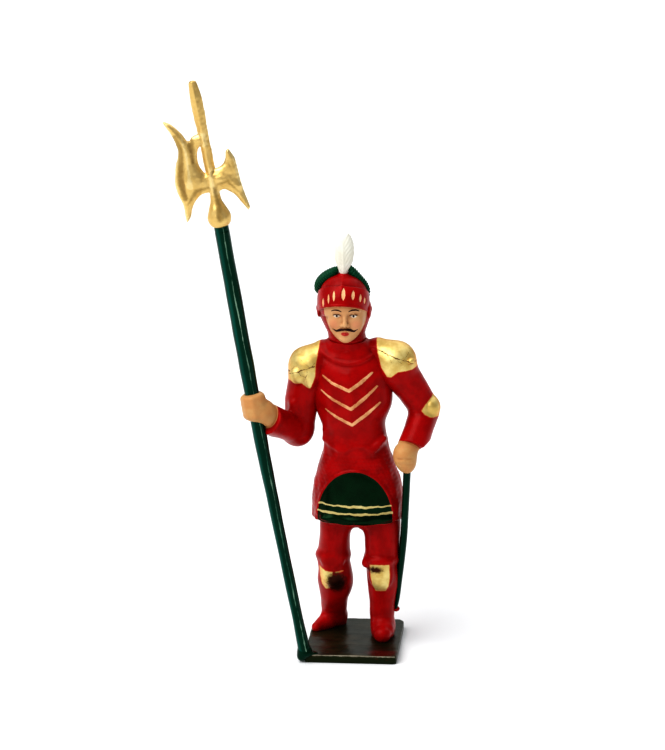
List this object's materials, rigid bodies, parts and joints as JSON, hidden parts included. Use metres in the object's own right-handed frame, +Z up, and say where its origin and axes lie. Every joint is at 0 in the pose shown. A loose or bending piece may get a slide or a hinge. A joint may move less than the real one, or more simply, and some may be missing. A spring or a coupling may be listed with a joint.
{
  "type": "painted miniature figure",
  "caption": "Painted cast-metal guardsman in red armour on a small plate, holding a tall halberd, with a head that turns on its neck plug.",
  "frame": {"origin": "middle of the flat underside of the base plate", "axes": "+Z up through the standing figure; the figure faces -Y; its right hand, with the halberd, is on the -X side"},
  "size_m": [0.0424, 0.0187, 0.0918],
  "materials": {
    "red_enamel": "satin crimson enamel over cast lead alloy",
    "gold_paint": "brushed-on gold metallic paint",
    "green_enamel": "gloss dark green enamel",
    "white_enamel": "satin off-white enamel",
    "base_enamel": "gloss brown-black enamel, worn at the front edge",
    "pin_wire": "plain drawn wire"
  },
  "bodies": {
    "figure": {"base_plate": "base_enamel", "body_casting": "red_enamel", "right_arm": "red_enamel", "left_arm": "red_enamel", "shoulder_pins": "pin_wire", "halberd_shaft": "green_enamel", "halberd_head": "gold_paint", "sword_scabbard": "green_enamel", "shaft_foot_solder": "green_enamel", "scabbard_tip_solder": "red_enamel"},
    "head": {"head_casting": "red_enamel", "white_plume": "white_enamel", "green_crest": "green_enamel"}
  },
  "joints": [
    {"name": "head_turn", "type": "hinge", "parent": "figure", "child": "head", "pos_m": [-0.0012, 0.0001, 0.0477], "axis": [0, 0, 1], "continuous": true}
  ]
}
